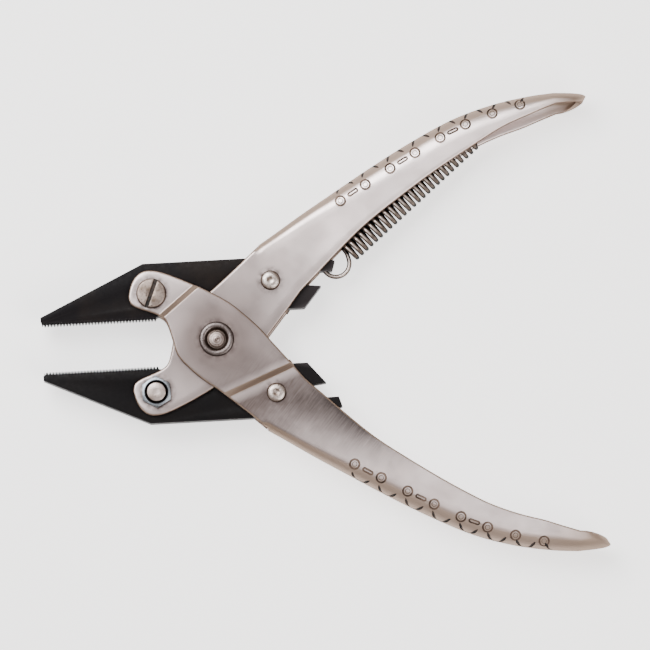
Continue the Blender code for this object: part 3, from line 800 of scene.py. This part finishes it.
class Channel:
    """Finds points on the skin of the handle's channel by the distance along its outer edge."""

    def __init__(self, data, stations):
        self.tree = BVHTree.FromPolygons(
            [v.co.copy() for v in data.vertices], [tuple(p.vertices) for p in data.polygons]
        )
        self.outer_edge = [outer for _, outer, half, curled in stations if curled >= 1 and half > 0]

    def edge(self, distance):
        """The outer edge's point, the way along it and the way in."""
        for a, b in zip(self.outer_edge, self.outer_edge[1:]):
            step = (b - a).length
            if distance <= step:
                along = (b - a).normalized()
                return a + along * distance, along, Vector((along.y, -along.x))
            distance -= step
        raise ValueError("past the end of the channel")

    def cheek(self, point, side):
        """The skin over a point on the front (side 1) or the back (side -1)."""
        return self.tree.ray_cast(Vector((*point, side * 20.0)), Vector((0, 0, -side)))[0]

    def bend(self, distance, degrees):
        """The skin at a direction in the section: 0 faces the front, 90 is the web's middle, 180 the rear."""
        point, _, inward = self.edge(distance)
        reach, drop = bend_at(point.x)
        turn = math.radians(degrees)
        flank = OUTER_FACE - drop
        middle = point + inward * reach
        outward = Vector((*(-inward * (reach * math.sin(turn))), drop * math.cos(turn))).normalized()
        start = Vector((*middle, flank * math.cos(turn)))
        return self.tree.ray_cast(start + outward * 12.0, -outward)[0]


def stamped_paths(channel):
    """Centre lines of the grooves: rings and dashes, dimples, then the crosses' arms that lean either way."""
    closed, dimples, rising, falling = [], [], [], []
    for k in range(RING_COUNT):
        place = RING_START + RING_STEP * k
        inset = RING_INSET - RING_DRIFT * (k - DEEPEST_RING) ** 2
        edge, _, inward = channel.edge(place)
        centre = edge + inward * inset
        marks = [(closed, RING_RADIUS), (dimples, DIMPLE_RADIUS)]
        marks = [(paths, arc(radius, centre, 0, 345, 23)) for paths, radius in marks]
        if k in DASH_AFTER:
            edge, along, inward = channel.edge(place + RING_STEP / 2)
            middle = edge + inward * inset
            end = arc(DASH_HALF_WIDTH, (DASH_HALF_LENGTH, 0.0), -90, 90, 8)
            dash = [middle + (along * a - inward * b) * sign for sign in (1, -1) for a, b in end]
            marks.append((closed, dash))
        for side in (1, -1):
            for paths, outline in marks:
                paths.append([channel.cheek(point, side) for point in outline])
        for arms, front, rear in ((rising, CROSS_FROM, CROSS_TO), (falling, CROSS_TO, CROSS_FROM)):
            path = []
            for j in range(CROSS_STEPS + 1):
                t = j / CROSS_STEPS
                turn = CROSS_TURN + (180 - 2 * CROSS_TURN) * t
                path.append(channel.bend(place + front + (rear - front) * t, turn))
            if k == RING_COUNT - 1:      # past the last ring, each arm stops before the web's middle
                path = path[:HALF_ARM] if front == CROSS_FROM else path[-HALF_ARM:]
            arms.append(path)
    return closed, dimples, rising, falling


def arm_width(t):
    """An arm is pressed deepest where it leaves the cheek, and fades towards its end."""
    from_end = min(t, 1.0 - t)
    return 0.3 + 0.7 * ease(from_end / 0.08) - 0.4 * ease((from_end - 0.25) / 0.2)


def stamp(item, channel, groove, dirt):
    closed, dimples, rising, falling = stamped_paths(channel)
    for paths, radius, material, cyclic, width in (
        (closed, RING_LINE, groove, True, None),
        (dimples, DIMPLE_LINE, groove, True, None),
        (rising, CROSS_LINE, dirt, False, arm_width),
        (falling, CROSS_LINE, dirt, False, arm_width),
    ):
        cutter = tube("grooves", paths, radius, sides=1, cyclic=cyclic, width=width)
        paint(cutter, material)
        item = difference(item, cutter, keep_cutter_material=True)
    return item


def drill(item):
    """The handle's three holes."""
    pins = ((PIVOT_PIN_RADIUS, (0.0, 0.0)), (SCREW_RADIUS, LOWER_SCREW), (RIVET_PIN_RADIUS, UPPER_RIVET))
    for radius, centre in pins:
        item = bored(item, radius + PIN_PLAY, centre)
    return item


def make_handles(dirt):
    stations = handle_stations()
    work = handle_skin(stations)
    bend_step(work)
    item = sheet_metal(work, stations)
    upper_nickel, lower_nickel = nickel_look("nickel_upper", -1), nickel_look("nickel_lower", 1)
    for material in (upper_nickel, edge_wear_and_shade_look()):
        item.data.materials.append(material)
    channel = Channel(item.data, stations)
    item = drill(item)
    item = stamp(item, channel, groove_look(), dirt)
    item.name = "handle_upper_shell"
    lower = copy_turned_over(item, "handle_lower_shell")
    for k, material in enumerate(lower.data.materials):
        if material == upper_nickel:
            lower.data.materials[k] = lower_nickel
    for piece, node in ((item, "handle_upper"), (lower, "handle_lower")):
        finish_piece(piece, node, node)


# ---- jaws

GRIP_FACE = 5.3
NOSE_X, NOSE_TOP = -39.35, 7.1
SHOULDER = (-15.8, 18.0)
BACK_TOP = 18.0
PRONG_TOP = 16.8
TOOTH_PITCH = 0.71
TOOTH_DEPTH = 0.58
TOOTH_FLAT = (0.34, 0.66)      # the tooth's narrow top, as shares of the pitch
TOOTH_COUNT = 36
TOOTH_START = -38.85
THROAT_FACE = 6.15
RELIEF_CENTRE = (2.85, 5.2)
RELIEF_RADIUS = 3.75
SLOT_HALF = 1.5
SLOT_MIDDLE = 12.84
SLOT_END_X = 12.65
JAW_BEVEL = 0.28
SPRING_HOLE = (24.97, 15.6)
SPRING_HOLE_RADIUS = 0.95


def jaw_outline():
    """The upper jaw's edge without its teeth."""
    root = GRIP_FACE + TOOTH_DEPTH
    throat = TOOTH_START + TOOTH_COUNT * TOOTH_PITCH
    points = [(NOSE_X, NOSE_TOP), (NOSE_X, root + 0.25), (NOSE_X + 0.3, root), (throat, root)]
    points.append((throat + 1.6, THROAT_FACE))
    rise = math.degrees(math.asin((THROAT_FACE - RELIEF_CENTRE[1]) / RELIEF_RADIUS))
    points += arc(RELIEF_RADIUS, RELIEF_CENTRE, 180 - rise, rise, 32)
    points += [(20.1, THROAT_FACE + 0.05), (24.05, 10.9), (20.0, SLOT_MIDDLE - SLOT_HALF)]
    points += arc(SLOT_HALF, (SLOT_END_X, SLOT_MIDDLE), 270, 90, 20)
    points += [(20.0, SLOT_MIDDLE + SLOT_HALF), (26.75, 14.2), (27.45, 16.4), (26.2, PRONG_TOP)]
    points += [(7.0, BACK_TOP), SHOULDER]
    return points


def make_teeth():
    """The row of teeth on the upper jaw's grip face, as one comb standing in the jaw."""
    half = JAW_THICKNESS / 2 - 0.02
    root = GRIP_FACE + TOOTH_DEPTH
    points = [(TOOTH_START - 0.25, root + 0.3), (TOOTH_START - 0.25, GRIP_FACE + 0.05)]
    for k in range(TOOTH_COUNT):
        x = TOOTH_START + k * TOOTH_PITCH
        points.append((x, root - 0.002 * (k % 2)))
        points += [(x + TOOTH_PITCH * share, GRIP_FACE) for share in TOOTH_FLAT]
    end = TOOTH_START + TOOTH_COUNT * TOOTH_PITCH
    points += [(end, root), (end, root + 0.3)]
    return plate("jaw_teeth", [points], -half, half)


def make_jaws():
    black = black_look()
    bore = arc(SCREW_RADIUS + PIN_PLAY, UPPER_SCREW, 0, 352.5, 47)
    body = plate("jaw_body", [jaw_outline(), bore], -JAW_THICKNESS / 2, JAW_THICKNESS / 2)
    body = bevelled(body, JAW_BEVEL, 40)
    radius = SPRING_HOLE_RADIUS
    hole = turned("spring_hole", [(0, 3), (radius, 3), (radius, -3), (0, -3)], steps=32)
    hole.data.transform(Matrix.Translation((*SPRING_HOLE, 0)) @ Matrix.Rotation(math.pi / 2, 4, "X"))
    body = difference(body, hole)
    teeth = make_teeth()
    for item in (body, teeth):
        paint(item, black)
    body.name, teeth.name = "jaw_upper_body", "jaw_upper_teeth"
    lower_body = copy_turned_over(body, "jaw_lower_body")
    lower_teeth = copy_turned_over(teeth, "jaw_lower_teeth")
    for item, owner, node in (
        (body, "jaw_upper", "jaw_upper"),
        (lower_body, "jaw_lower", "jaw_lower"),
        (teeth, "jaw_upper", None),
        (lower_teeth, "jaw_lower", None),
    ):
        finish_piece(item, owner, node, sharp=25)


# ---- fasteners

SCREW_HEAD_RADIUS = 3.35
SCREW_HEAD_HEIGHT = 1.05
SCREW_SHOULDER = 0.42
SCREW_SLOT_WIDTH = 0.9
SCREW_SLOT_DEPTH = 0.6
SCREW_SLOT_ANGLE = 68.0
NUT_FLATS = 6.3
NUT_HEIGHT = 1.3
NUT_PLAY = 0.12
NUT_CONE = (2.55, 0.3)         # a point on the cone that cuts the corners: radius, height over the nut
NUT_CORNER_DROP = 0.62         # how far below the top the cone leaves the corners
RIVET_HEAD_RADIUS = 2.2
RIVET_FLAT_RADIUS = 0.8
PIVOT_RIM_RADIUS = 4.0


def make_screw(name, node, body, centre, flip, material, dirt):
    seat = OUTER_FACE + SEAT_GAP
    top = seat + SCREW_HEAD_HEIGHT
    end = seat + NUT_HEIGHT + 0.1
    shoulder = (SCREW_HEAD_RADIUS - SCREW_SHOULDER, top - 0.05 - SCREW_SHOULDER)
    profile = [(0.0, top), (1.4, top - 0.01), *arc(SCREW_SHOULDER, shoulder, 90, 0, 6)]
    profile += [(SCREW_HEAD_RADIUS, seat), (SCREW_RADIUS, seat), (SCREW_RADIUS, -end + 0.25)]
    profile.append((SCREW_RADIUS - 0.08, -end + 0.09))
    profile += [(SCREW_RADIUS - 0.25, -end), (0.6, -end + 0.03), (0.0, -end + 0.12)]
    screw = turned(name, profile, centre, flip=flip)
    work = bmesh.new()
    place = Matrix.Translation((*centre, top * (-1 if flip else 1)))
    turn = Matrix.Rotation(math.radians(SCREW_SLOT_ANGLE), 4, "Z")
    size = Matrix.Diagonal((9.0, SCREW_SLOT_WIDTH, 2 * SCREW_SLOT_DEPTH, 1.0))
    bmesh.ops.create_cube(work, size=1.0, matrix=place @ turn @ size)
    cutter = mesh_object("slot", work)
    paint(screw, material)
    paint(cutter, dirt)
    screw = bevelled(difference(screw, cutter, keep_cutter_material=True), 0.06, 50)
    finish_piece(screw, body, node)


def make_nut(name, node, body, centre, side, material):
    """A hexagon nut with its corners turned down on the outer face."""
    low = OUTER_FACE + SEAT_GAP
    high = low + NUT_HEIGHT
    corner = NUT_FLATS / math.sqrt(3)
    hexagon = [polar(corner, 60 * k + 30) for k in range(6)]
    nut = plate(name, [hexagon], low, high)
    wide, far, (tip_radius, tip_height) = corner + 0.6, corner + 4.0, NUT_CONE
    cone = [(0, high + 1), (far, high + 1), (far, low - 1), (wide, low - 1), (wide, high - NUT_CORNER_DROP)]
    cone += [(tip_radius, high + tip_height), (0, high + tip_height)]
    nut = difference(nut, turned("chamfer", cone))
    radius = SCREW_RADIUS + NUT_PLAY
    bore = [(0, high + 1), (radius + 0.63, high + 1), (radius, high - 0.35), (radius, low - 1), (0, low - 1)]
    nut = difference(nut, turned("bore", bore))
    nut.data.transform(Matrix.Translation((*centre, 0.0)) @ (TURNED_OVER if side < 0 else Matrix.Identity(4)))
    paint(nut, material)
    finish_piece(nut, body, node)


def make_slot_rivet(name, node, body, centre, material):
    """A rivet with a domed head at each end, its top set flat by the riveting tool."""
    base = OUTER_FACE + SEAT_GAP
    high = size_mm(node).z / 2
    flat, dome = RIVET_FLAT_RADIUS, RIVET_HEAD_RADIUS - RIVET_FLAT_RADIUS
    head = [(0.0, high - 0.12), (0.35, high - 0.1), (0.62, high - 0.02), (flat, high)]
    for k in range(1, 11):
        turn = math.radians(9.0 * k)
        head.append((flat + dome * math.sin(turn), base + (high - base) * (0.16 + 0.84 * math.cos(turn))))
    head += [(RIVET_HEAD_RADIUS, base), (RIVET_PIN_RADIUS, base)]
    profile = head + [(radius, -level) for radius, level in reversed(head)]
    rivet = turned(name, profile, centre)
    paint(rivet, material)
    finish_piece(rivet, body, node)


def make_pivot(material):
    """The main rivet: a rolled hollow rim at the front, a flat head at the back."""
    seat = RAISED_FACE + SEAT_GAP
    profile = [(0.0, seat - 0.5), (0.22, seat - 0.52), (0.4, seat - 0.66), (0.62, seat - 0.72)]
    profile += [(1.5, seat - 0.7), (1.72, seat - 0.76), (1.86, seat - 0.95), (2.05, seat - 0.97)]
    profile.append((2.25, seat - 0.8))
    for k in range(13):
        turn = math.radians(200.0 - 17.5 * k)
        profile.append((3.18 + 0.72 * math.cos(turn), seat + 0.02 + 0.4 * math.sin(turn)))
    profile += [(PIVOT_PIN_RADIUS, seat), (PIVOT_PIN_RADIUS, -seat), (4.2, -seat), (4.2, -seat - 0.4)]
    profile += [(4.12, -seat - 0.56), (3.95, -seat - 0.67), (3.75, -seat - 0.7), (0.0, -seat - 0.7)]
    rivet = turned("pivot_rivet_head", profile, steps=96)
    paint(rivet, material)
    finish_piece(rivet, "handle_lower", "pivot_rivet")


def make_fasteners(dirt):
    worn = bolt_look("upper_screw_steel", UPPER_SCREW, -1, (0.26, 0.21, 0.185), (0.11, 0.08, 0.06))
    clean = bolt_look("lower_screw_steel", LOWER_SCREW, 1, (0.46, 0.40, 0.375), (0.28, 0.22, 0.19))
    make_screw("upper_screw_slotted", "upper_jaw_screw", "handle_lower", UPPER_SCREW, False, worn, dirt)
    make_screw("lower_screw_slotted", "lower_jaw_screw", "handle_upper", LOWER_SCREW, True, clean, dirt)
    zinc = nut_look("upper_nut_zinc", UPPER_SCREW), nut_look("lower_nut_zinc", LOWER_SCREW)
    make_nut("upper_screw_nut", "upper_jaw_nut", "handle_lower", UPPER_SCREW, -1, zinc[0])
    make_nut("lower_screw_nut", "lower_jaw_nut", "handle_upper", LOWER_SCREW, 1, zinc[1])
    for name, node, body, centre in (
        ("upper_rivet_domed", "upper_slot_rivet", "handle_upper", UPPER_RIVET),
        ("lower_rivet_domed", "lower_slot_rivet", "handle_lower", LOWER_RIVET),
    ):
        make_slot_rivet(name, node, body, centre, rivet_look(node + "_steel", centre))
    make_pivot(pivot_look())
    inner = steel_look("inner_steel", (0.42, 0.37, 0.34), (0.24, 0.18, 0.14)).material
    for node in ("pivot_spacer", "spring_anchor_tab"):
        paint(frame["nodes"][node], inner)


# ---- spring

WIRE_RADIUS = 0.5
COIL_RADIUS = 2.67
COIL_PITCH = 1.46
COIL_TURNS = 25.5
COIL_START = Vector((30.34, 18.63, 0.0))
COIL_ANGLE = 39.7
POINTS_PER_TURN = 28
HOOK_CENTRE = (27.7, 16.0)
HOOK_RADIUS = 3.05
TAIL_LEAD = 1.0


def smooth_line(points, steps):
    """Points on a smooth curve through points."""
    return [row[0] for row in spline_rows([(p,) for p in points], even(steps))]


def spring_path():
    turn = math.radians(COIL_ANGLE)
    along = Vector((math.cos(turn), math.sin(turn), 0.0))
    side = Vector((-math.sin(turn), math.cos(turn), 0.0))
    up = Vector((0.0, 0.0, 1.0))
    hook = [Vector((*p, 0.0)) for p in arc(HOOK_RADIUS, HOOK_CENTRE, -168, 12, 14)]
    lead = [COIL_START + side * (COIL_RADIUS * t) - along * (0.35 * (1 - t)) for t in (-0.15, 0.35, 0.75)]
    count = round(COIL_TURNS * POINTS_PER_TURN)
    coil = []
    for k in range(count + 1):
        angle = 2 * math.pi * k / POINTS_PER_TURN
        rise = along * (COIL_PITCH * k / POINTS_PER_TURN)
        coil.append(COIL_START + rise + (side * math.cos(angle) + up * math.sin(angle)) * COIL_RADIUS)
    end = COIL_START + along * (COIL_PITCH * COIL_TURNS)
    lift = [end + along * 0.45 - side * 1.9 - up * 1.5, end + along * 0.8 - side * 0.7 - up * 2.4]
    middle = end + along * TAIL_LEAD
    loop = []
    for k in range(13):
        angle = math.radians(15.0 * k)
        loop.append(middle + (along * math.sin(angle) - up * math.cos(angle)) * COIL_RADIUS)
    start = smooth_line([*hook, *lead, *coil[:3]], 4)[:-8]      # less the two stretches that the coil repeats
    tail = smooth_line([*coil[-3:], *lift, *loop], 5)[10:]
    return start + coil[1:-1] + tail


def mark_inside(spring):
    """Store how far each point lies inside the coil, where the wire is painted black as shade."""
    along = Vector((*polar(1.0, COIL_ANGLE), 0.0))
    inside = spring.data.attributes.new("inside", "FLOAT", "POINT")
    for vertex, value in zip(spring.data.vertices, inside.data):
        offset = vertex.co - COIL_START
        reach = offset.dot(along)
        distance = (offset - along * reach).length
        if reach > -WIRE_RADIUS:
            value.value = ease((COIL_RADIUS + WIRE_RADIUS / 4 - distance) / (WIRE_RADIUS / 2))


def make_spring():
    path = spring_path()
    spring = tube("spring_wire", [path], WIRE_RADIUS, sides=4, cyclic=False)
    mark_inside(spring)
    look = Look("spring_wire_with_painted_shading", (0.26, 0.21, 0.18), 0.28, 0.65, edge_tint=0.1)
    look.shader.inputs["Specular IOR Level"].default_value = 0.25
    look.mottle((0.08, 0.055, 0.04), 0.5, 0.4, 0.7, 0.7, detail=5.0)
    facing = look.normal_z()
    # painted highlight: the wire lightens where it faces front
    look.fade((0.72, 0.64, 0.60), facing, 0.9, 0.99, 0.7)
    # painted shade: the wire's flanks darken
    look.fade((0.012, 0.009, 0.007), facing, 0.8, 0.4, 0.95)
    # painted shade: the wire goes black inside the coil
    look.tint((0.004, 0.003, 0.002), look.stored("inside"))
    look.bump(look.noise(5.0), 0.01)
    paint(spring, look.material)
    to_frame(spring)
    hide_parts("return_spring")
    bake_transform(spring)


# ---- setting, light and camera

VIEW_CENTRE = Vector((24.5, 2.1))      # the middle of the picture, in millimetres
VIEW_WIDTH = 146.25                    # what the picture spans at the handles' front face
VIEW_DISTANCE = 2400.0
VIEW_LEVEL = 2.0                       # where the sight line crosses, above the middle plane
VIEW_ROLL = -3.1
VIEW_TILT = 4.0                        # the photograph looks a little up at the jaws' grip faces
SKY_LEAN = Vector((-0.25, 0.22, 1.0))
SKY_STRENGTH = 0.9
FLOOR_GLOW = 1.5                       # the object lies on a light table, so it throws almost no shadow


def make_floor():
    work = bmesh.new()
    bmesh.ops.create_grid(work, x_segments=1, y_segments=1, size=1500.0)
    floor = mesh_object("floor", work)
    floor.data.transform(Matrix.Scale(MM, 4))
    floor.location.z = -0.0002
    look = Look("floor_light_table", (0.95, 0.95, 0.95), 0.95, 0.0)
    look.shader.inputs["Emission Color"].default_value = (1.0, 1.0, 1.0, 1.0)
    look.shader.inputs["Emission Strength"].default_value = FLOOR_GLOW
    paint(floor, look.material)


def make_world():
    """A pale room, brightest overhead and towards the upper left, warm and darker low down."""
    world = bpy.data.worlds.new("studio")
    bpy.context.scene.world = world
    world.use_nodes = True
    nodes, links = world.node_tree.nodes, world.node_tree.links
    coordinates = nodes.new("ShaderNodeTexCoord")
    lean = nodes.new("ShaderNodeVectorMath")
    lean.operation = "DOT_PRODUCT"
    lean.inputs[1].default_value = SKY_LEAN.normalized()
    ramp = nodes.new("ShaderNodeValToRGB")
    links.new(coordinates.outputs["Generated"], lean.inputs[0])
    links.new(lean.outputs["Value"], ramp.inputs["Fac"])
    stops = ramp.color_ramp.elements
    stops[0].position, stops[0].color = 0.0, (0.20, 0.155, 0.125, 1.0)
    stops[1].position, stops[1].color = 1.0, (1.0, 0.98, 0.98, 1.0)
    for position, *colour in ((0.35, 0.27, 0.21, 0.17), (0.72, 0.50, 0.41, 0.35), (0.92, 0.95, 0.90, 0.88)):
        stops.new(position).color = (*colour, 1.0)
    links.new(ramp.outputs["Color"], nodes["Background"].inputs["Color"])
    nodes["Background"].inputs["Strength"].default_value = SKY_STRENGTH


def area_light(name, place, target, size, power, colour=(1.0, 1.0, 1.0)):
    light = bpy.data.lights.new(name, "AREA")
    light.size = size * MM
    light.energy = power
    light.color = colour
    item = link(bpy.data.objects.new(name, light))
    item.location = Vector(place) * MM
    item.rotation_euler = (Vector(target) - Vector(place)).to_track_quat("-Z", "Y").to_euler()


def make_lights():
    target = (25.0, 0.0, 6.0)
    area_light("key", (-160.0, 200.0, 430.0), target, 330.0, 3.2)
    area_light("fill", (260.0, -200.0, 400.0), target, 320.0, 1.3, (1.0, 0.98, 0.96))


def make_camera():
    camera = bpy.data.cameras.new("camera")
    camera.sensor_width = 36.0
    camera.lens = 36.0 * VIEW_DISTANCE / VIEW_WIDTH
    camera.clip_end = 5.0
    item = link(bpy.data.objects.new("camera", camera))
    turn = Matrix.Rotation(math.radians(VIEW_ROLL), 4, "Z") @ Matrix.Rotation(math.radians(VIEW_TILT), 4, "X")
    centre = Vector((*VIEW_CENTRE, MIDDLE + VIEW_LEVEL))
    item.location = (centre + turn @ Vector((0.0, 0.0, VIEW_DISTANCE))) * MM
    item.rotation_euler = turn.to_euler()
    bpy.context.scene.camera = item


# ---- build

packed_dirt = dirt_look()
make_handles(packed_dirt)
make_jaws()
make_fasteners(packed_dirt)
make_spring()
make_floor()
make_world()
make_lights()
make_camera()
